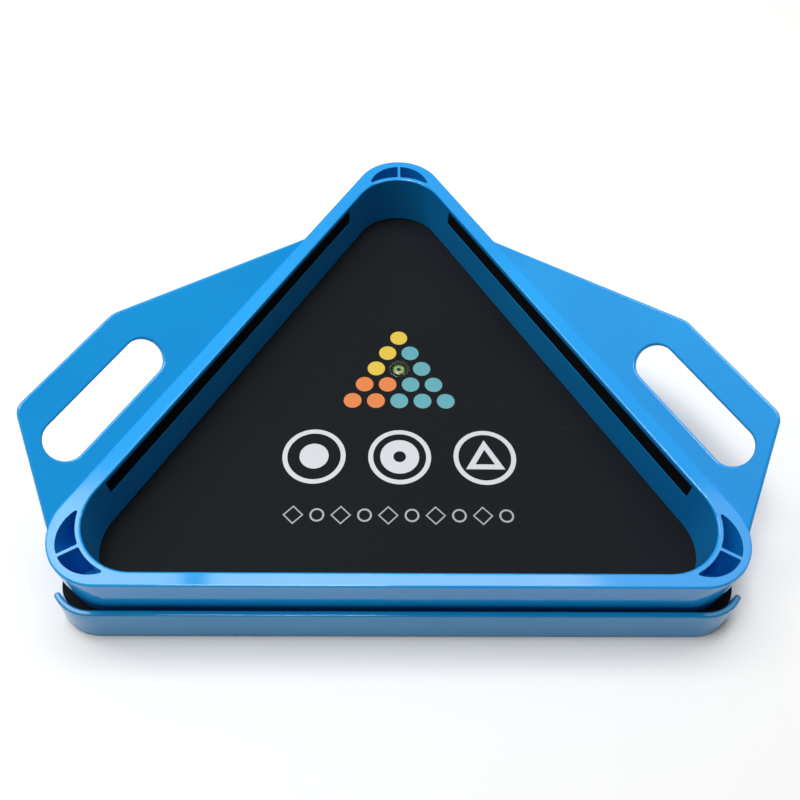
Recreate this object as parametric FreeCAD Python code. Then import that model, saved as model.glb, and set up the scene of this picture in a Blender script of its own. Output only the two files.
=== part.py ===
import FreeCAD, Part
import math
import os

# Triangle rack for fifteen pool balls, with a floor plate that draws out of the front.
# Millimetres. X runs to the right, Y towards the apex, Z up. Everything is drawn from the
# middle of the ball triangle, on the surface that the rack stands on, and is then moved
# along Y so that the origin is under the middle of the whole rack.

# Driving dimensions
ballWell = 95.0            # from the middle of the well to each of its three walls
wellCorner = 26.5          # radius of the well's corners
sideWall = 8.4             # thickness of the two side walls at the rim
frontWall = 6.9            # thickness of the front wall at the rim
outerCorner = 26.0         # radius of the rim's outer corners
rackHeight = 46.8          # table to the top of the rim
rimBand = 17.0             # height of the proud band below the rim
bandStep = 0.5             # how far the band stands out from the wall under it
rimRound = 0.9             # rounding of the rim's edges

# Floor plate and its passage through the frame
floorHeight = 15.0         # table to the top of the plate
plateThickness = 4.0
plateCorner = 18.5         # corner radius of the plate
plateRound = 0.5           # rounding of the plate's edges
grooveDepth = 3.2          # how far the plate reaches into the side walls
slideGap = 0.5             # clearance above, below and beside the plate
bodyGap = 1.3              # clearance between the front wall and the drawer front

# Drawer front
lipTop = 22.5              # table to the top of the drawer front
lipFoot = 0.5              # table to the underside of the drawer front
lipThickness = 2.9         # at its top edge
lipLean = 1.5              # how far the outer face leans out at its foot
lipSweep = 59.0            # degrees that the drawer front wraps round each corner
lipRound = 0.8             # rounding of its top edges
lipEndRound = 1.2          # rounding of its two ends
lipFit = 0.15              # clearance between the plate's edge and the drawer front
flangeDepth = 15.0         # shelf behind the drawer front, under the plate
flangeThickness = 2.5
flangeGap = 0.8            # running clearance behind the shelf
ribThickness = 2.0
ribCount = 6
ribPitch = 48.0
ribFoot = 1.9              # depth of each rib at its lower end
joinDepth = 1.0            # how far the shelf and ribs run into the drawer front

# Screws that hold the drawer front to the plate
screwCount = 4
screwPitch = 72.0
screwThread = 2.9
screwLength = 5.8
screwHead = 5.4
screwHeadDepth = 1.5
screwSetback = 8.0         # from the inner face of the drawer front
screwSlot = 0.8            # width of the cross recess
screwSlotLength = 3.2
screwSlotDepth = 0.9
screwFit = 0.06            # clearance round the screws

# Bumper strips
stripLength = 217.0
stripHeight = 9.4
stripThickness = 2.9
stripAboveFloor = 19.6     # top of the plate to the lower edge of the strips
stripShift = 4.0           # how far the side strips sit towards the front
stripRound = 0.4
recessDepth = 3.0
stripFit = 0.15            # clearance round each strip in its recess

# Corner pockets
pocketInnerWall = 2.4      # skin between the well and the pocket
pocketOuterWall = 5.2      # skin outside the pocket at the corner's middle
pocketRadius = 17.8        # radius of the pocket's outer wall
pocketDepth = 24.0
pocketRib = 1.5
pocketRound = 0.8          # rounding of the pockets' upright edges

# Hand grips: s runs along the side wall towards the front, w up the slope of the grip
gripRise = 38.0            # degrees above level
gripThickness = 3.2
gripReach = 44.0           # width of the grip up the slope
gripBack = -68.0           # s where the grip leaves the rim at the back
gripTopBack = 46.5         # s where its outer edge begins
gripTopFront = 112.0       # s where its outer edge ends
gripFront = 142.0          # s where it meets the rim at the front
gripBackRound = 15.0
gripFrontRound = 8.0
gripEdgeRound = 1.1
gripRoot = 5.0             # how far the grip is sunk into the side wall
holeLength = 76.0
holeWidth = 19.8
holeAlong = 80.5           # s of the hand hole's middle
holeUp = 18.4              # w of the hand hole's middle

# Bull's-eye level
levelDiameter = 12.0
levelHeight = 6.0
levelProud = -0.1          # its top face against the plate's, so that it clears the front wall
levelRound = 0.3
levelFromMiddle = 41.0     # from the rack's middle towards the apex
levelFit = 0.05            # clearance round it in the plate
vialDiameter = 6.8
vialCrown = 1.0            # thickness of the lens over the vial
vialDome = 14.0            # radius of the lens's hollow underside
plugThickness = 1.2
bubbleDiameter = 2.2
bubbleRise = 0.5           # how far the bubble's middle lies under the lens

overcut = 1.0              # how far a cutting solid runs past the face that it cuts
tiny = 1e-4

sideAngle = math.radians(30.0)
across = math.cos(sideAngle)
along = math.sin(sideAngle)


def point(x, y, z=0.0):
    return FreeCAD.Vector(x, y, z)


def cornerCentres(side, front, radius):
    """Middles of the corner arcs: apex, front left, front right."""
    apexY = 2.0 * (side - radius)
    frontY = radius - front
    frontX = (side - radius - along * frontY) / across
    return point(0, apexY), point(-frontX, frontY), point(frontX, frontY)


def arcEdge(centre, radius, startDegrees, endDegrees):
    def at(degrees):
        angle = math.radians(degrees)
        return centre + point(radius * math.cos(angle), radius * math.sin(angle))
    middle = at((startDegrees + endDegrees) / 2.0)
    return Part.Arc(at(startDegrees), middle, at(endDegrees)).toShape()


def joinedWire(arcs, closed=True):
    """One wire of the arcs, in order, with straight edges between them."""
    edges = []
    for index, arc in enumerate(arcs):
        edges.append(arc)
        if index == len(arcs) - 1 and not closed:
            break
        start = arc.valueAt(arc.LastParameter)
        following = arcs[(index + 1) % len(arcs)]
        end = following.valueAt(following.FirstParameter)
        if start.distanceToPoint(end) > tiny:
            edges.append(Part.LineSegment(start, end).toShape())
    return Part.Wire(edges)


def roundedTriangle(side, front, radius):
    """Outline with its sides at the given distances from the middle."""
    apex, left, right = cornerCentres(side, front, radius)
    return joinedWire([
        arcEdge(apex, radius, 30, 150),
        arcEdge(left, radius, 150, 270),
        arcEdge(right, radius, 270, 390),
    ])


def prism(wire, bottom, top):
    face = Part.Face(wire)
    face.translate(point(0, 0, bottom))
    return face.extrude(point(0, 0, top - bottom))


def box(x0, x1, y0, y1, z0, z1):
    return Part.makeBox(x1 - x0, y1 - y0, z1 - z0, point(x0, y0, z0))


def roundEdges(solid, radius, wanted):
    """Rounds the edges for which wanted(edge) is true."""
    edges = [edge for edge in solid.Edges if wanted(edge)]
    return solid.makeFillet(radius, edges)


def edgeHeights(edge):
    heights = [vertex.Z for vertex in edge.Vertexes]
    heights.append(edge.valueAt((edge.FirstParameter + edge.LastParameter) / 2.0).z)
    return min(heights), max(heights)


def level(edge, height):
    low, high = edgeHeights(edge)
    return abs(low - height) < tiny and abs(high - height) < tiny


def steepness(edge):
    low, high = edgeHeights(edge)
    return high - low


def onWall(solid, side):
    """Moves a solid from a wall's own axes to the wall: side is left, right or front.

    A wall's own axes have X along the wall, Y outwards and Z up, from the foot of the
    line between the rack's middle and the wall."""
    turn = {"right": -60.0, "left": 60.0, "front": 180.0}[side]
    placed = solid.copy()
    placed.rotate(point(0, 0), point(0, 0, 1), turn)
    return placed


# Values that several pieces share
plateSide = ballWell + grooveDepth
frontFace = ballWell + frontWall
lipInner = frontFace + bodyGap
plateBottom = floorHeight - plateThickness
slotTop = floorHeight + slideGap
slotBottom = plateBottom - slideGap
flangeBack = flangeDepth - lipInner
wallFootEnd = flangeBack + flangeGap
farFront = -2.0 * lipInner


def plateOutline(gap=0.0):
    return roundedTriangle(plateSide + gap, lipInner + gap, plateCorner + gap)


def widestPlate(gap=0.0):
    """Half width of the plate at its front corners, and the Y where it is widest."""
    corner = cornerCentres(plateSide, lipInner, plateCorner)[2]
    return corner.x + plateCorner + gap, corner.y


def outerBody():
    """The frame before anything is cut out of it, without the grips."""
    bandFoot = rackHeight - rimBand
    side = ballWell + sideWall
    band = prism(roundedTriangle(side, frontFace, outerCorner), bandFoot, rackHeight)
    band = roundEdges(band, rimRound, lambda edge: level(edge, rackHeight))
    lower = roundedTriangle(side - bandStep, frontFace - bandStep, outerCorner - bandStep)
    return prism(lower, 0.0, bandFoot).fuse(band)


def gripOutline():
    """The grip in its own plane: X along the side wall, Y up the slope."""
    def lineAt(start, end, w):
        share = (w - start[1]) / (end[1] - start[1])
        return (start[0] + share * (end[0] - start[0]), w)
    back = (gripBack, 0.0)
    topBack = (gripTopBack, gripReach)
    topFront = (gripTopFront, gripReach)
    front = (gripFront, 0.0)
    return [lineAt(back, topBack, -gripRoot), topBack, topFront, lineAt(front, topFront, -gripRoot)]


def roundedCorner(before, corner, after, radius):
    """Arc that rounds a corner of an outline."""
    a, b, c = (point(*place) for place in (before, corner, after))
    toBefore = (a - b).normalize()
    toAfter = (c - b).normalize()
    half = toBefore.getAngle(toAfter) / 2.0
    reach = radius / math.tan(half)
    bisector = (toBefore + toAfter).normalize()
    middle = b + bisector * (radius / math.sin(half) - radius)
    return Part.Arc(b + toBefore * reach, middle, b + toAfter * reach).toShape()


def gripPlate():
    """One grip in its own axes, with its upper face in the plane Z = 0."""
    rootBack, topBack, topFront, rootFront = gripOutline()
    backArc = roundedCorner(rootBack, topBack, topFront, gripBackRound)
    frontArc = roundedCorner(topBack, topFront, rootFront, gripFrontRound)
    arcs = joinedWire([backArc, frontArc], closed=False)
    backStart = backArc.valueAt(backArc.FirstParameter)
    frontEnd = frontArc.valueAt(frontArc.LastParameter)
    root = Part.makePolygon([frontEnd, point(*rootFront), point(*rootBack), backStart])
    plate = prism(Part.Wire(arcs.Edges + root.Edges), -gripThickness, 0.0)
    halfHole = (holeLength - holeWidth) / 2.0
    hole = joinedWire([
        arcEdge(point(holeAlong + halfHole, holeUp), holeWidth / 2.0, -90, 90),
        arcEdge(point(holeAlong - halfHole, holeUp), holeWidth / 2.0, 90, 270),
    ])
    plate = plate.cut(prism(hole, -2.0 * gripThickness, gripThickness))

    def visible(edge):
        isRoot = max(vertex.Y for vertex in edge.Vertexes) < tiny - gripRoot
        return steepness(edge) < tiny and not isRoot
    return roundEdges(plate, gripEdgeRound, visible)


def grip(side):
    """One grip, leaning up and out from the rim's outer edge."""
    placed = gripPlate()
    placed.rotate(point(0, 0), point(1, 0, 0), gripRise)
    placed.translate(point(0, ballWell + sideWall, rackHeight))
    placed = onWall(placed, "right")
    if side == "left":
        placed = placed.mirror(point(0, 0), point(1, 0))
    return placed


def pocketPair():
    """The two pockets at the apex, one each side of their rib."""
    wellCentre = cornerCentres(ballWell, ballWell, wellCorner)[0]
    outerCentre = cornerCentres(ballWell + sideWall, frontFace, outerCorner)[0]
    outerReach = outerCentre.y + outerCorner - pocketOuterWall
    bottom = rackHeight - pocketDepth
    height = pocketDepth + overcut
    disc = Part.makeCylinder(pocketRadius, height, point(0, outerReach - pocketRadius, bottom))
    core = Part.makeCylinder(wellCorner + pocketInnerWall, height, wellCentre + point(0, 0, bottom))
    back = outerReach + overcut
    wedge = box(-pocketRadius, pocketRadius, wellCentre.y, back, bottom, bottom + height)
    rib = box(-pocketRib / 2.0, pocketRib / 2.0, wellCentre.y, back, bottom, bottom + height)
    pair = disc.common(wedge).cut(core).cut(rib)
    return roundEdges(pair, pocketRound, lambda edge: steepness(edge) > pocketDepth)


def pockets():
    """The pockets of all three corners."""
    pair = pocketPair()
    cuts = []
    for turn in (0.0, 120.0, 240.0):
        turned = pair.copy()
        turned.rotate(point(0, 0), point(0, 0, 1), turn)
        cuts.append(turned)
    return cuts


def stripBlock(side, gap, depth, front=0.0):
    """Block for a bumper strip or its recess, sunk by depth into a wall."""
    shift = {"right": stripShift, "left": -stripShift, "front": 0.0}[side]
    half = stripLength / 2.0 + gap
    bottom = floorHeight + stripAboveFloor - gap
    top = floorHeight + stripAboveFloor + stripHeight + gap
    block = box(shift - half, shift + half, ballWell + front, ballWell + depth, bottom, top)
    return onWall(block, side)


def frame():
    solid = outerBody()
    for side in ("left", "right"):
        solid = solid.fuse(grip(side))
    inner = roundedTriangle(ballWell, ballWell, wellCorner)
    solid = solid.cut(prism(inner, -overcut, 2.0 * rackHeight))
    halfWidth, widestY = widestPlate(slideGap)
    slot = prism(plateOutline(slideGap), slotBottom, slotTop)
    passage = box(-halfWidth, halfWidth, farFront, widestY, slotBottom, slotTop)
    under = box(-2.0 * halfWidth, 2.0 * halfWidth, farFront, wallFootEnd, -overcut, slotTop)
    for cutter in [slot, passage, under] + pockets():
        solid = solid.cut(cutter)
    for side in ("left", "right", "front"):
        solid = solid.cut(stripBlock(side, stripFit, recessDepth, -overcut))
    solid = solid.removeSplitter()

    def wellRim(edge):
        middle = edge.valueAt((edge.FirstParameter + edge.LastParameter) / 2.0)
        ground = Part.Vertex(point(middle.x, middle.y))
        return level(edge, rackHeight) and inner.distToShape(ground)[0] < tiny
    return roundEdges(solid, rimRound, wellRim)


def bumperStrip(side):
    strip = stripBlock(side, 0.0, recessDepth, recessDepth - stripThickness)
    return strip.makeFillet(stripRound, strip.Edges)


def screwPlaces():
    first = -screwPitch * (screwCount - 1) / 2.0
    return [point(first + index * screwPitch, screwSetback - lipInner) for index in range(screwCount)]


def screwBody(gap):
    """A countersunk screw pointing up, with its head level with the shelf's underside."""
    head = screwHead / 2.0 + gap
    thread = screwThread / 2.0 + gap
    bottom = plateBottom - flangeThickness
    cone = Part.makeCone(head, thread, screwHeadDepth, point(0, 0, bottom))
    shank = Part.makeCylinder(thread, screwLength + gap, point(0, 0, bottom))
    return cone.fuse(shank).removeSplitter()


def bottomPlate():
    plate = prism(plateOutline(), plateBottom, floorHeight)
    plate = roundEdges(plate, plateRound, lambda edge: steepness(edge) < tiny)
    seatFoot = point(0, levelFromMiddle, plateBottom - overcut)
    seat = Part.makeCylinder(levelDiameter / 2.0 + levelFit, plateThickness + 2.0 * overcut, seatFoot)
    plate = plate.cut(seat)
    for place in screwPlaces():
        hole = screwBody(screwFit)
        hole.translate(place)
        plate = plate.cut(hole)
    return plate


def lipOutline(height):
    """The drawer front's outline at a height, a closed band round the plate's front."""
    lean = lipLean * (lipTop - height) / (lipTop - lipFoot)
    outer = plateCorner + lipThickness + lean
    left, right = cornerCentres(plateSide, lipInner, plateCorner)[1:]
    start = 270.0 - lipSweep
    end = 270.0 + lipSweep
    arcs = [
        arcEdge(left, outer, start, 270.0),
        arcEdge(right, outer, 270.0, end),
        arcEdge(right, plateCorner + lipFit, end, 270.0),
        arcEdge(left, plateCorner + lipFit, 270.0, start),
    ]
    wire = joinedWire(arcs)
    wire.translate(point(0, 0, height))
    return wire


def ribPlaces():
    first = -ribPitch * (ribCount - 1) / 2.0
    return [first + index * ribPitch for index in range(ribCount)]


def drawerFront():
    """The drawer front, with the shelf under the plate and the ribs that stiffen it."""
    lip = Part.makeLoft([lipOutline(lipFoot), lipOutline(lipTop)], True, True)
    ends = [edge for edge in lip.Edges if steepness(edge) > lipRound
            and edge.valueAt(edge.FirstParameter).y > joinDepth - lipInner]
    lip = lip.makeFillet(lipEndRound, ends)
    lip = roundEdges(lip, lipRound, lambda edge: level(edge, lipTop))
    shelfFoot = plateBottom - flangeThickness
    reach = 2.0 * lipInner
    shelf = prism(plateOutline(lipFit + joinDepth), shelfFoot, plateBottom)
    solid = lip.fuse(shelf.common(box(-reach, reach, -reach, flangeBack, shelfFoot, plateBottom)))
    join = -lipInner - lipFit - joinDepth
    profile = [(join, lipFoot), (ribFoot - lipInner, lipFoot)]
    profile += [(flangeBack - joinDepth, shelfFoot), (join, shelfFoot)]
    for x in ribPlaces():
        places = [point(x - ribThickness / 2.0, y, z) for y, z in profile]
        side = Part.Face(Part.makePolygon(places + places[:1]))
        solid = solid.fuse(side.extrude(point(ribThickness, 0, 0)))
    for place in screwPlaces():
        hole = screwBody(screwFit)
        hole.translate(place)
        solid = solid.cut(hole)
    return solid.removeSplitter()


def frontScrews():
    bottom = plateBottom - flangeThickness
    long = screwSlotLength / 2.0
    wide = screwSlot / 2.0
    screw = screwBody(0.0)
    for x, y in ((long, wide), (wide, long)):
        screw = screw.cut(box(-x, x, -y, y, bottom - overcut, bottom + screwSlotDepth))
    screws = []
    for place in screwPlaces():
        copy = screw.copy()
        copy.translate(place)
        screws.append(copy)
    return Part.makeCompound(screws)


def vialCavity(gap=0.0):
    """The space for the liquid, with its slightly domed top."""
    top = floorHeight + levelProud - vialCrown - gap
    bottom = floorHeight + levelProud - levelHeight + plugThickness + gap
    tube = Part.makeCylinder(vialDiameter / 2.0 - gap, top - bottom, point(0, levelFromMiddle, bottom))
    dome = Part.makeSphere(vialDome, point(0, levelFromMiddle, top - vialDome))
    return tube.common(dome)


def levelBody():
    bottom = floorHeight + levelProud - levelHeight
    body = Part.makeCylinder(levelDiameter / 2.0, levelHeight, point(0, levelFromMiddle, bottom))
    body = roundEdges(body, levelRound, lambda edge: level(edge, bottom + levelHeight))
    plugSeat = Part.makeCylinder(vialDiameter / 2.0, plugThickness, point(0, levelFromMiddle, bottom))
    return body.cut(vialCavity()).cut(plugSeat)


def levelPlug():
    bottom = floorHeight + levelProud - levelHeight
    return Part.makeCylinder(vialDiameter / 2.0 - levelFit, plugThickness, point(0, levelFromMiddle, bottom))


def levelFluid():
    top = floorHeight + levelProud - vialCrown
    bubble = Part.makeSphere(bubbleDiameter / 2.0, point(0, levelFromMiddle, top - bubbleRise))
    return vialCavity(levelFit).cut(bubble)


def main():
    nodes = {
        "frame": frame(),
        "bumper_strip_left": bumperStrip("left"),
        "bumper_strip_right": bumperStrip("right"),
        "bumper_strip_front": bumperStrip("front"),
        "bottom_plate": bottomPlate(),
        "drawer_front": drawerFront(),
        "front_screws": frontScrews(),
        "level_body": levelBody(),
        "level_plug": levelPlug(),
        "level_fluid": levelFluid(),
    }
    apexReach = 2.0 * (ballWell + sideWall - outerCorner) + outerCorner
    frontReach = lipInner + lipThickness + lipLean
    toMiddle = point(0, (frontReach - apexReach) / 2.0)
    os.makedirs("parts", exist_ok=True)
    for name, shape in nodes.items():
        shape.translate(toMiddle)
        print(name, "solids", len(shape.Solids), "valid", shape.isValid(), "volume", round(shape.Volume))
        shape.exportStep("parts/" + name + ".step")
    print("middle of the ball triangle at Y", round(toMiddle.y, 4))


main()
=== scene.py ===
import bpy
import math
from mathutils import Matrix, Vector


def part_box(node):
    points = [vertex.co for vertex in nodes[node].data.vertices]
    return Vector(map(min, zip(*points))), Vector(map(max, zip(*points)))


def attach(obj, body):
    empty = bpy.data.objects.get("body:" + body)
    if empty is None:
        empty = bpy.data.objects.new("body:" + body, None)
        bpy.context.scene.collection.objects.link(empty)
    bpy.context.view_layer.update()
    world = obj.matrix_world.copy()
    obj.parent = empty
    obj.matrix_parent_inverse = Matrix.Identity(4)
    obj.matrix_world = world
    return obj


# The triangle rack: blue moulded ring and drawer front, black floor plate with its print,
# bumper strips and a bull's-eye level. Metres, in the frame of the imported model.

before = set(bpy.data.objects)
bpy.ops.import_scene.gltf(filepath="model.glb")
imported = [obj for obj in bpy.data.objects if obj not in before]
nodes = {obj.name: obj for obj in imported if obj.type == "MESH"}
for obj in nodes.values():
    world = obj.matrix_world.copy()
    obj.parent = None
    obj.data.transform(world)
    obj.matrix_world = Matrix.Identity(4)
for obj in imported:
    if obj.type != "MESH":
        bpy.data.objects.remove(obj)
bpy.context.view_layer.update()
scene = bpy.context.scene
bpy.ops.object.select_all(action="DESELECT")
print("stage: frame loaded,", len(nodes), "nodes")

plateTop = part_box("bottom_plate")[1].z
levelLow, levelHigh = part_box("level_body")
fluidLow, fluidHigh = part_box("level_fluid")
levelMiddle = (levelLow + levelHigh) / 2


# Shader maths: a wrapped socket takes part in Python expressions
class Wire:
    def __init__(self, board, socket):
        self.board = board
        self.socket = socket

    def join(self, operation, first, second):
        return self.board.add("ShaderNodeMath", {"operation": operation}, {0: first, 1: second})

    def __add__(self, other):
        return self.join("ADD", self, other)

    def __radd__(self, other):
        return self.join("ADD", other, self)

    def __sub__(self, other):
        return self.join("SUBTRACT", self, other)

    def __rsub__(self, other):
        return self.join("SUBTRACT", other, self)

    def __mul__(self, other):
        return self.join("MULTIPLY", self, other)

    def __rmul__(self, other):
        return self.join("MULTIPLY", other, self)


# One material's node tree; every node comes from add: its type, its settings, its sockets
class Board:
    def __init__(self, name):
        self.material = bpy.data.materials.new(name)
        self.material.use_nodes = True
        self.tree = self.material.node_tree
        self.tree.nodes.clear()

    def add(self, kind, settings=None, sockets=None, output=0):
        node = self.tree.nodes.new(kind)
        for setting, value in (settings or {}).items():
            setattr(node, setting, value)
        for key, value in (sockets or {}).items():
            if isinstance(value, Wire):
                self.tree.links.new(value.socket, node.inputs[key])
            else:
                node.inputs[key].default_value = value
        return Wire(self, node.outputs[output]) if node.outputs else None

    def finish(self, sockets):
        shader = self.add("ShaderNodeBsdfPrincipled", None, sockets)
        self.add("ShaderNodeOutputMaterial", None, {"Surface": shader})
        return self.material


# A screen colour, 0 to 255, as the linear colour that a shader takes
def linear(red, green, blue):
    shares = (channel / 255 for channel in (red, green, blue))
    curve = [share / 12.92 if share <= 0.04045 else ((share + 0.055) / 1.055) ** 2.4 for share in shares]
    return (*curve, 1)


def objectPlace(board):
    objectOutput = 3
    return board.add("ShaderNodeTexCoord", output=objectOutput)


# A pattern in the dictionaries below is its scale per metre, its detail and, if given, its roughness
def noise(board, where, scale, detail=3.0, roughness=0.5):
    return board.add("ShaderNodeTexNoise", None, {
        "Vector": where, "Scale": scale, "Detail": detail, "Roughness": roughness})


# 0 below low, 1 above high, smooth between
def ramp(board, value, low, high):
    return board.add("ShaderNodeMapRange", {"interpolation_type": "SMOOTHSTEP"}, {
        "Value": value, "From Min": low, "From Max": high})


# A Mix node's sockets for colours are 0 (share), 6 and 7, and its colour comes out at 2
def mixColour(board, share, first, second):
    return board.add("ShaderNodeMix", {"data_type": "RGBA"}, {0: share, 6: first, 7: second}, 2)


def bump(board, height, distance, strength=1.0, onto=None):
    sockets = {"Height": height, "Distance": distance, "Strength": strength}
    if onto:
        sockets["Normal"] = onto
    return board.add("ShaderNodeBump", None, sockets)


scratchShape = {
    "stretch": (1, 26, 6),      # how much finer the cells are along X, Y and Z
    "detail": (2.0, 0.6),       # detail and roughness of the pattern
    "spread": 0.03,             # from faint to full, in noise
    "patchSize": 3,             # times as coarse as the scratches
    "patchDetail": 2.0,
    "patchRange": (0.52, 0.68),
}


# Hairline scratches along one direction: long thin cells, kept only in some patches.
# In the dictionaries below: scale per metre, turn in radians, noise where a line begins
def hairlines(board, scale, turn, begin):
    lines = board.add("ShaderNodeMapping", None, {
        "Vector": objectPlace(board), "Scale": scratchShape["stretch"], "Rotation": (0, 0, turn)})
    patches = noise(board, objectPlace(board), scale / scratchShape["patchSize"], scratchShape["patchDetail"])
    cells = noise(board, lines, scale, *scratchShape["detail"])
    thin = ramp(board, cells, begin, begin + scratchShape["spread"])
    return thin * ramp(board, patches, *scratchShape["patchRange"])


bluePlastic = {
    "base": linear(24, 154, 228),
    "deep": linear(20, 146, 222),
    "worn": linear(70, 172, 230),
    "roughness": 0.085,
    "ior": 1.47,
    "cloud": (9.0, 4.0),
    "cloudRange": (0.35, 0.68),
    "smear": (34.0, 5.0, 0.6),
    "smearRange": (0.45, 0.75),
    "smearRoughness": 0.06,     # added where the gloss is smeared
    "scratches": ((55.0, 0.5, 0.66), (77.0, -0.9, 0.68)),
    "scratchRoughness": 0.12,   # added in the scratches
    "scratchColour": 0.06,      # share of the worn colour in them
    "scratchDepth": 0.000003,
    "wave": (22.0, 1.5),        # slow waves left by shrinkage
    "waveDepth": 0.0001,
    "grain": (900.0, 2.0),
    "grainDepth": 0.000004,
}

# The drawer front takes a darker copy of the blue: painted shade for its front faces, which get less light
shadedFrontBlue = {"base": linear(22, 146, 208), "deep": linear(18, 138, 200)}


# Glossy moulded plastic: clouded tone, slow waves, smears and hairlines in the gloss
def bluePlasticMaterial(name, values):
    board = Board(name)
    spot = objectPlace(board)
    cloud = ramp(board, noise(board, spot, *values["cloud"]), *values["cloudRange"])
    tone = mixColour(board, cloud, values["base"], values["deep"])
    fine, finer = values["scratches"]
    marks = hairlines(board, *fine) + hairlines(board, *finer)
    colour = mixColour(board, marks * values["scratchColour"], tone, values["worn"])
    smear = ramp(board, noise(board, spot, *values["smear"]), *values["smearRange"])
    rough = values["roughness"] + smear * values["smearRoughness"] + marks * values["scratchRoughness"]
    normal = bump(board, noise(board, spot, *values["wave"]), values["waveDepth"])
    normal = bump(board, noise(board, spot, *values["grain"]), values["grainDepth"], onto=normal)
    normal = bump(board, marks, values["scratchDepth"], onto=normal)
    return board.finish({"Base Color": colour, "Roughness": rough, "IOR": values["ior"], "Normal": normal})


blackPlate = {
    "base": linear(15, 19, 23),
    "pale": linear(20, 24, 28),
    "dust": linear(46, 52, 58),
    "roughness": 0.7,
    "specular": 0.12,
    "cloud": (12.0, 4.0),
    "cloudRange": (0.3, 0.7),
    "dullRange": (0.3, 0.8),    # of the same cloud, where the plate is duller
    "dullRoughness": 0.1,
    "specks": (700.0, 2.0, 0.7),
    "speckRange": (0.7, 0.8),
    "speckColour": 0.12,        # share of the dust colour in the specks
    "scratches": (38.0, 1.1, 0.67),
    "scratchColour": 0.12,
    "scratchPolish": 0.12,      # taken off the roughness in the scratches
    "grainScale": 2600.0,
    "grainDepth": 0.00004,
    "grainStrength": 0.6,
}


# Finely grained sheet plastic, with dust and a few rubbed marks
def blackPlateMaterial(name, values):
    board = Board(name)
    spot = objectPlace(board)
    cloud = noise(board, spot, *values["cloud"])
    dust = ramp(board, noise(board, spot, *values["specks"]), *values["speckRange"])
    marks = hairlines(board, *values["scratches"])
    tone = mixColour(board, ramp(board, cloud, *values["cloudRange"]), values["base"], values["pale"])
    paler = dust * values["speckColour"] + marks * values["scratchColour"]
    colour = mixColour(board, paler, tone, values["dust"])
    dull = ramp(board, cloud, *values["dullRange"])
    rough = values["roughness"] + dull * values["dullRoughness"] - marks * values["scratchPolish"]
    pits = board.add("ShaderNodeTexVoronoi", None, {"Vector": spot, "Scale": values["grainScale"]})
    normal = bump(board, pits, values["grainDepth"], values["grainStrength"])
    return board.finish({"Base Color": colour, "Roughness": rough, "Normal": normal,
                         "Specular IOR Level": values["specular"]})


softStrip = {
    "base": linear(5, 8, 10),
    "pale": linear(22, 25, 28),
    "roughness": 0.82,
    "specular": 0.2,
    "nap": (1500.0, 3.0, 0.7),
    "napRange": (0.45, 0.8),
    "napRoughness": 0.12,
    "napDepth": 0.00012,
    "napStrength": 0.8,
    "napColour": 0.4,           # share of the paler colour in the nap
    "rubbed": (40.0, 3.0),
    "rubbedRange": (0.45, 0.8),
    "rubbedColour": 0.4,        # share added where balls have rubbed it
}


# Black foam rubber with a short nap, paler where balls have rubbed it
def softStripMaterial(name, values):
    board = Board(name)
    spot = objectPlace(board)
    nap = noise(board, spot, *values["nap"])
    rubbed = ramp(board, noise(board, spot, *values["rubbed"]), *values["rubbedRange"])
    paler = ramp(board, nap, *values["napRange"]) * (values["napColour"] + rubbed * values["rubbedColour"])
    colour = mixColour(board, paler, values["base"], values["pale"])
    rough = values["roughness"] + nap * values["napRoughness"]
    normal = bump(board, nap, values["napDepth"], values["napStrength"])
    return board.finish({"Base Color": colour, "Roughness": rough, "Normal": normal,
                         "Specular IOR Level": values["specular"]})


screwSteel = {
    "base": linear(176, 178, 182),
    "dark": linear(120, 121, 124),
    "roughness": 0.3,
    "cloud": (1200.0, 3.0),
    "cloudRange": (0.35, 0.7),
    "cloudRoughness": 0.2,
    "grain": (6000.0, 2.0),
    "grainDepth": 0.000006,
}


# Zinc-plated steel
def screwSteelMaterial(name, values):
    board = Board(name)
    spot = objectPlace(board)
    cloud = noise(board, spot, *values["cloud"])
    colour = mixColour(board, ramp(board, cloud, *values["cloudRange"]), values["base"], values["dark"])
    rough = values["roughness"] + cloud * values["cloudRoughness"]
    normal = bump(board, noise(board, spot, *values["grain"]), values["grainDepth"])
    return board.finish({"Base Color": colour, "Roughness": rough, "Metallic": 1.0, "Normal": normal})


clearVial = {
    "shadeTint": linear(176, 188, 178),
    "roughness": 0.03,
    "ior": 1.46,
    "haze": (900.0, 3.0),
    "hazeRange": (0.55, 0.8),
    "hazeRoughness": 0.06,
    "ripple": (420.0, 1.0),
    "rippleDepth": 0.00001,
}


# Clear acrylic, its tint darkened to grey-green as painted shade, with a little haze and moulding ripple
def clearVialMaterial(name, values):
    board = Board(name)
    spot = objectPlace(board)
    haze = ramp(board, noise(board, spot, *values["haze"]), *values["hazeRange"])
    rough = values["roughness"] + haze * values["hazeRoughness"]
    normal = bump(board, noise(board, spot, *values["ripple"]), values["rippleDepth"])
    return board.finish({"Base Color": values["shadeTint"], "Roughness": rough, "IOR": values["ior"],
                         "Transmission Weight": 1.0, "Normal": normal})


vialLiquid = {
    "bright": linear(224, 236, 150),
    "edge": linear(140, 168, 74),
    "spot": linear(18, 24, 14),
    "edgeFrom": 0.62,           # share of the liquid's radius where the painted shade begins to darken it
    "spotRadius": 0.0012,
    "spotFade": (0.8, 1.25),    # shares of that radius where the spot begins and ends to fade
    "roughness": 0.12,
    "cloud": (500.0, 2.0),
    "cloudRoughness": 0.08,
    # Painted light: the liquid glows though it is no lamp
    "paintedGlow": 0.62,
}
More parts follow.
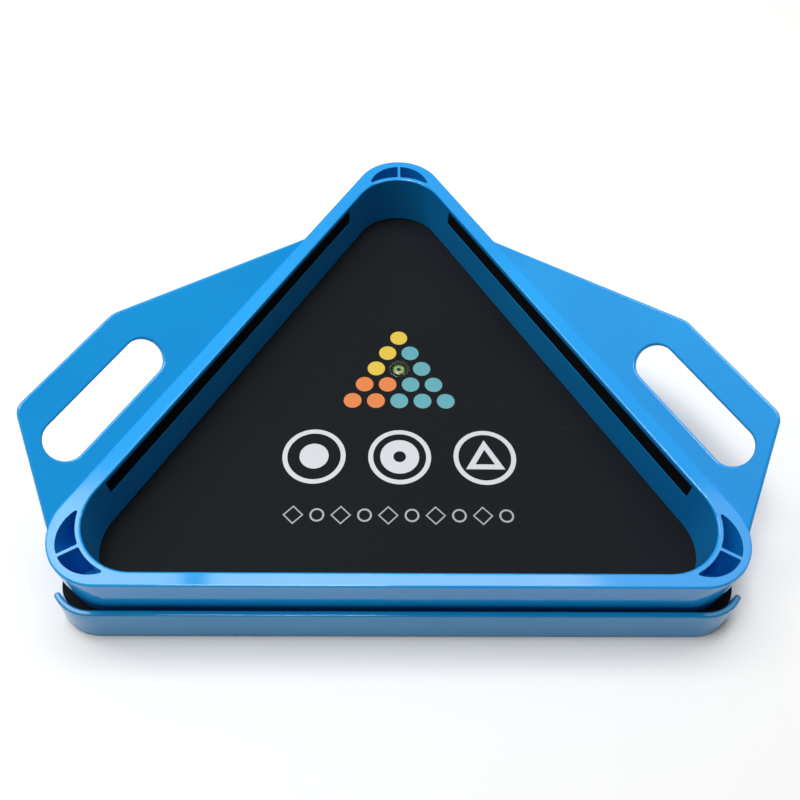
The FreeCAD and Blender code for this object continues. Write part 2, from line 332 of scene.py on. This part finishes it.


# Yellow-green liquid, with painted shade darkening it towards its rim and a dark disc at its middle; it glows
# as painted light
def vialLiquidMaterial(name, values):
    board = Board(name)
    spot = objectPlace(board)
    middle = (levelMiddle.x, levelMiddle.y, fluidHigh.z)
    away = board.add("ShaderNodeVectorMath", {"operation": "SUBTRACT"}, {0: spot, 1: middle})
    flat = board.add("ShaderNodeVectorMath", {"operation": "MULTIPLY"}, {0: away, 1: (1, 1, 0)})
    reach = board.add("ShaderNodeVectorMath", {"operation": "LENGTH"}, {0: flat}, 1)
    radius = (fluidHigh.x - fluidLow.x) / 2
    # Painted shade, darker towards the liquid's rim
    rimShade = ramp(board, reach, radius * values["edgeFrom"], radius)
    tone = mixColour(board, rimShade, values["bright"], values["edge"])
    fadeStart, fadeEnd = values["spotFade"]
    dot = 1 - ramp(board, reach, values["spotRadius"] * fadeStart, values["spotRadius"] * fadeEnd)
    colour = mixColour(board, dot, tone, values["spot"])
    rough = values["roughness"] + noise(board, spot, *values["cloud"]) * values["cloudRoughness"]
    # Painted light: emission of the liquid's own colour, its painted shade and dark disc included
    return board.finish({"Base Color": colour, "Roughness": rough, "Emission Color": colour,
                         "Emission Strength": values["paintedGlow"]})


# Each ink, fresh and worn
inks = {
    "yellow": (linear(210, 180, 44), linear(150, 128, 40)),
    "orange": (linear(212, 116, 38), linear(150, 84, 36)),
    "teal": (linear(76, 154, 165), linear(60, 112, 120)),
    "white": (linear(196, 200, 206), linear(140, 144, 150)),
    "grey": (linear(150, 156, 163), linear(84, 90, 97)),
}
screenPrint = {
    "thickness": 0.00005,
    "discCorners": 48,
    "ringCorners": 64,
    "roughness": 0.42,
    "wornRoughness": 0.2,
    "wear": (420.0, 4.0, 0.7),
    "wearRange": (0.6, 0.78),
    "wearColour": 0.12,         # share of the worn colour in the worn spots
    "patch": (30.0, 2.0),
    "patchRange": (0.4, 0.75),
    "patchColour": 0.2,         # share added in worn patches
    "grainShare": 2,            # the plate's grain, this many times shallower
    "grainStrength": 0.4,
}


# Screen print on the plate: even ink with small worn spots and the plate's grain
def inkMaterial(ink, values):
    fresh, worn = inks[ink]
    board = Board("ink" + ink.capitalize())
    spot = objectPlace(board)
    wear = ramp(board, noise(board, spot, *values["wear"]), *values["wearRange"])
    patch = ramp(board, noise(board, spot, *values["patch"]), *values["patchRange"])
    colour = mixColour(board, wear * (values["wearColour"] + patch * values["patchColour"]), fresh, worn)
    rough = values["roughness"] + wear * values["wornRoughness"]
    pits = board.add("ShaderNodeTexVoronoi", None, {"Vector": spot, "Scale": blackPlate["grainScale"]})
    normal = bump(board, pits, blackPlate["grainDepth"] / values["grainShare"], values["grainStrength"])
    return board.finish({"Base Color": colour, "Roughness": rough, "Normal": normal})


def coat(material, *names):
    for name in names:
        for slot in nodes[name].material_slots:
            slot.material = material


bumperStrips = ["bumper_strip_" + side for side in ("left", "right", "front")]
coat(bluePlasticMaterial("blueFrame", bluePlastic), "frame")
# The drawer front's blue is darkened with painted shade
coat(bluePlasticMaterial("blueDrawerShaded", bluePlastic | shadedFrontBlue), "drawer_front")
coat(blackPlateMaterial("plateBlack", blackPlate), "bottom_plate")
coat(softStripMaterial("stripFoam", softStrip), *bumperStrips)
coat(screwSteelMaterial("screwZinc", screwSteel), "front_screws")
coat(clearVialMaterial("vialClear", clearVial), "level_body", "level_plug")
coat(vialLiquidMaterial("vialLiquid", vialLiquid), "level_fluid")
print("stage: finishes on the CAD nodes")


# The print: flat discs and rings of ink that lie on the plate
def flatShape(x, y, radius, corners, filled):
    bpy.ops.object.select_all(action="DESELECT")
    bpy.ops.mesh.primitive_circle_add(vertices=corners, radius=radius, location=(x, y, plateTop),
                                      fill_type="NGON" if filled else "NOTHING")
    bpy.ops.object.transform_apply(location=True, rotation=True, scale=True)
    return bpy.context.object


def flatDisc(x, y, radius):
    return flatShape(x, y, radius, screenPrint["discCorners"], True)


def flatRing(x, y, outer, inner, corners=screenPrint["ringCorners"]):
    piece = flatShape(x, y, outer, corners, False)
    share = inner / outer
    bpy.ops.object.mode_set(mode="EDIT")
    bpy.ops.mesh.select_all(action="SELECT")
    bpy.ops.mesh.extrude_edges_move()
    bpy.ops.transform.resize(value=(share, share, 1), center_override=(x, y, plateTop))
    bpy.ops.object.mode_set(mode="OBJECT")
    return piece


# One printed colour: its shapes joined, turned face up and thickened upwards
def joinInk(name, pieces, ink):
    bpy.ops.object.select_all(action="DESELECT")
    for piece in pieces:
        piece.select_set(True)
    bpy.context.view_layer.objects.active = pieces[0]
    bpy.ops.object.join()
    joined = bpy.context.object
    joined.name = name
    joined.data.name = name
    for polygon in joined.data.polygons:
        if polygon.normal.z < 0:
            polygon.flip()
    bpy.ops.object.modifier_add(type="SOLIDIFY")
    thicken = joined.modifiers[-1]
    thicken.thickness = screenPrint["thickness"]
    thicken.offset = 1.0
    bpy.ops.object.modifier_apply(modifier=thicken.name)
    joined.data.materials.append(inkMaterial(ink, screenPrint))
    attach(joined, "drawer")


rackSign = {
    "pitch": 0.0128,
    "dot": 0.0049,
    "rows": 5,
    "levelRow": 2,              # its middle dot is the level; rows count from 0 at the back
    "orangeFrom": 3,            # first row that is orange on its left
}


# Fourteen dots in a ball rack's triangle, with the level in the place of the middle one.
# Teal on the right, where the last row's middle dot counts as well
def rackSignDots():
    rowStep = rackSign["pitch"] * math.sqrt(3) / 2
    lastRow = rackSign["rows"] - 1
    groups = {"yellow": [], "orange": [], "teal": []}
    for row in range(rackSign["rows"]):
        middle = row / 2
        y = levelMiddle.y + (rackSign["levelRow"] - row) * rowStep
        for index in range(row + 1):
            x = levelMiddle.x + (index - middle) * rackSign["pitch"]
            isMiddle = index == middle
            isTeal = index > middle or (isMiddle and row == lastRow)
            colour = "teal" if isTeal else "orange" if row >= rackSign["orangeFrom"] else "yellow"
            if not (isMiddle and row == rackSign["levelRow"]):
                groups[colour].append(flatDisc(x, y, rackSign["dot"]))
    return groups


for ink, dots in rackSignDots().items():
    joinInk("print_dots_" + ink, dots, ink)

ballSigns = {
    "y": -0.0535,
    "pitch": 0.0448,
    "radius": 0.0165,
    "line": 0.0026,
    "spot": 0.46,               # this and the next three are shares of the radius
    "stripe": (0.62, 0.2),
    "rack": (0.72, 0.36),
    "rackDrop": 0.08,
    "rackCorners": 3,
}


# Three ball signs: one with a spot, one with a stripe and one with a rack
def ballSignPieces():
    y = ballSigns["y"]
    pitch = ballSigns["pitch"]
    radius = ballSigns["radius"]
    pieces = [flatRing(x, y, radius, radius - ballSigns["line"]) for x in (-pitch, 0, pitch)]
    pieces.append(flatDisc(-pitch, y, radius * ballSigns["spot"]))
    stripeOuter, stripeInner = (radius * share for share in ballSigns["stripe"])
    pieces.append(flatRing(0, y, stripeOuter, stripeInner))
    rackY = y - radius * ballSigns["rackDrop"]
    rackOuter, rackInner = (radius * share for share in ballSigns["rack"])
    pieces.append(flatRing(pitch, rackY, rackOuter, rackInner, ballSigns["rackCorners"]))
    return pieces


joinInk("print_ball_signs", ballSignPieces(), "white")

sightRow = {
    "y": -0.0877,
    "count": 10,
    "pitch": 0.0119,
    "line": 0.00096,
    "diamond": (0.0052, 4),     # radius and corners
    "ring": (0.0037, 40),
}


# A fine row of diamonds and small rings, by turns
def sightRowPieces():
    pieces = []
    for index in range(sightRow["count"]):
        x = (index - (sightRow["count"] - 1) / 2) * sightRow["pitch"]
        radius, corners = sightRow["ring"] if index % 2 else sightRow["diamond"]
        pieces.append(flatRing(x, sightRow["y"], radius, radius - sightRow["line"], corners))
    return pieces


joinInk("print_sight_row", sightRowPieces(), "grey")
print("stage: print on the plate")

studio = {
    "floorSize": 8.0,
    "floorColour": (0.9, 0.905, 0.91, 1),
    "floorRoughness": 0.8,
    "floorCloudScale": 3.0,
    "floorCloudRoughness": 0.1,
    "worldColour": (1.0, 0.93, 0.8, 1),
    "worldStrength": 0.12,
}
# Each light: place, the point that it faces, width and depth, watts
lights = {
    "rimLightLeft": ((-0.635, 0.42, 1.3), (-0.635, 0.42, 0), (0.45, 0.36), 3.25),
    "rimLightMiddle": ((0.045, 0.42, 1.3), (0.045, 0.42, 0), (0.8, 0.36), 5.8),
    "rimLightRight": ((0.8, 0.42, 1.3), (0.8, 0.42, 0), (0.7, 0.36), 1.6),
    "topLight": ((-0.24, 0.0, 1.6), (0, 0, 0), (0.6, 0.5), 15.2),
    "sideLight": ((-1.2, 0.02, 1.3), (0, 0.02, 0), (1.2, 1.2), 2.7),
    "backLight": ((0, 1.35, 1.3), (0, 1.35, 0), (2.2, 1.46), 4.2),
}


def makeFloor():
    bpy.ops.object.select_all(action="DESELECT")
    bpy.ops.mesh.primitive_plane_add(size=studio["floorSize"], location=(0, 0, 0))
    floor = bpy.context.object
    floor.name = "floor"
    board = Board("floorPale")
    cloud = noise(board, objectPlace(board), studio["floorCloudScale"])
    rough = studio["floorRoughness"] + cloud * studio["floorCloudRoughness"]
    floor.data.materials.append(board.finish({"Base Color": studio["floorColour"], "Roughness": rough}))


def makeLights():
    scene.world = bpy.data.worlds.new("studioWorld")
    scene.world.use_nodes = True
    sky = scene.world.node_tree.nodes["Background"]
    sky.inputs["Color"].default_value = studio["worldColour"]
    sky.inputs["Strength"].default_value = studio["worldStrength"]
    for name, (location, target, size, power) in lights.items():
        bpy.ops.object.light_add(type="AREA", location=location)
        lamp = bpy.context.object
        lamp.name = name
        lamp.data.shape = "RECTANGLE"
        lamp.data.size, lamp.data.size_y = size
        lamp.data.energy = power
        lamp.rotation_euler = (Vector(target) - Vector(location)).to_track_quat("-Z", "Y").to_euler()


makeFloor()
makeLights()

camera = {
    "place": (-0.01165, -0.27514, 0.38392),
    "down": 55.01,              # degrees below level
    "right": 2.68,              # degrees to the right of +Y
    "roll": 2.76,               # degrees about the line of sight
    "lens": 36.84,
    "nearest": 0.01,            # nothing closer than this is drawn
}


def makeCamera():
    bpy.ops.object.camera_add()
    body = bpy.context.object
    body.data.lens = camera["lens"]
    body.data.clip_start = camera["nearest"]
    down, right, roll = (math.radians(camera[key]) for key in ("down", "right", "roll"))
    ahead = Vector((math.sin(right) * math.cos(down), math.cos(right) * math.cos(down), -math.sin(down)))
    level = Vector((math.cos(right), -math.sin(right), 0))
    upright = level.cross(ahead)
    side = level * math.cos(roll) + upright * math.sin(roll)
    top = upright * math.cos(roll) - level * math.sin(roll)
    turn = Matrix((side, top, -ahead)).transposed().to_4x4()
    body.matrix_world = Matrix.Translation(camera["place"]) @ turn
    scene.camera = body


makeCamera()
scene.view_settings.view_transform = "Standard"
print("stage: floor, light and camera")
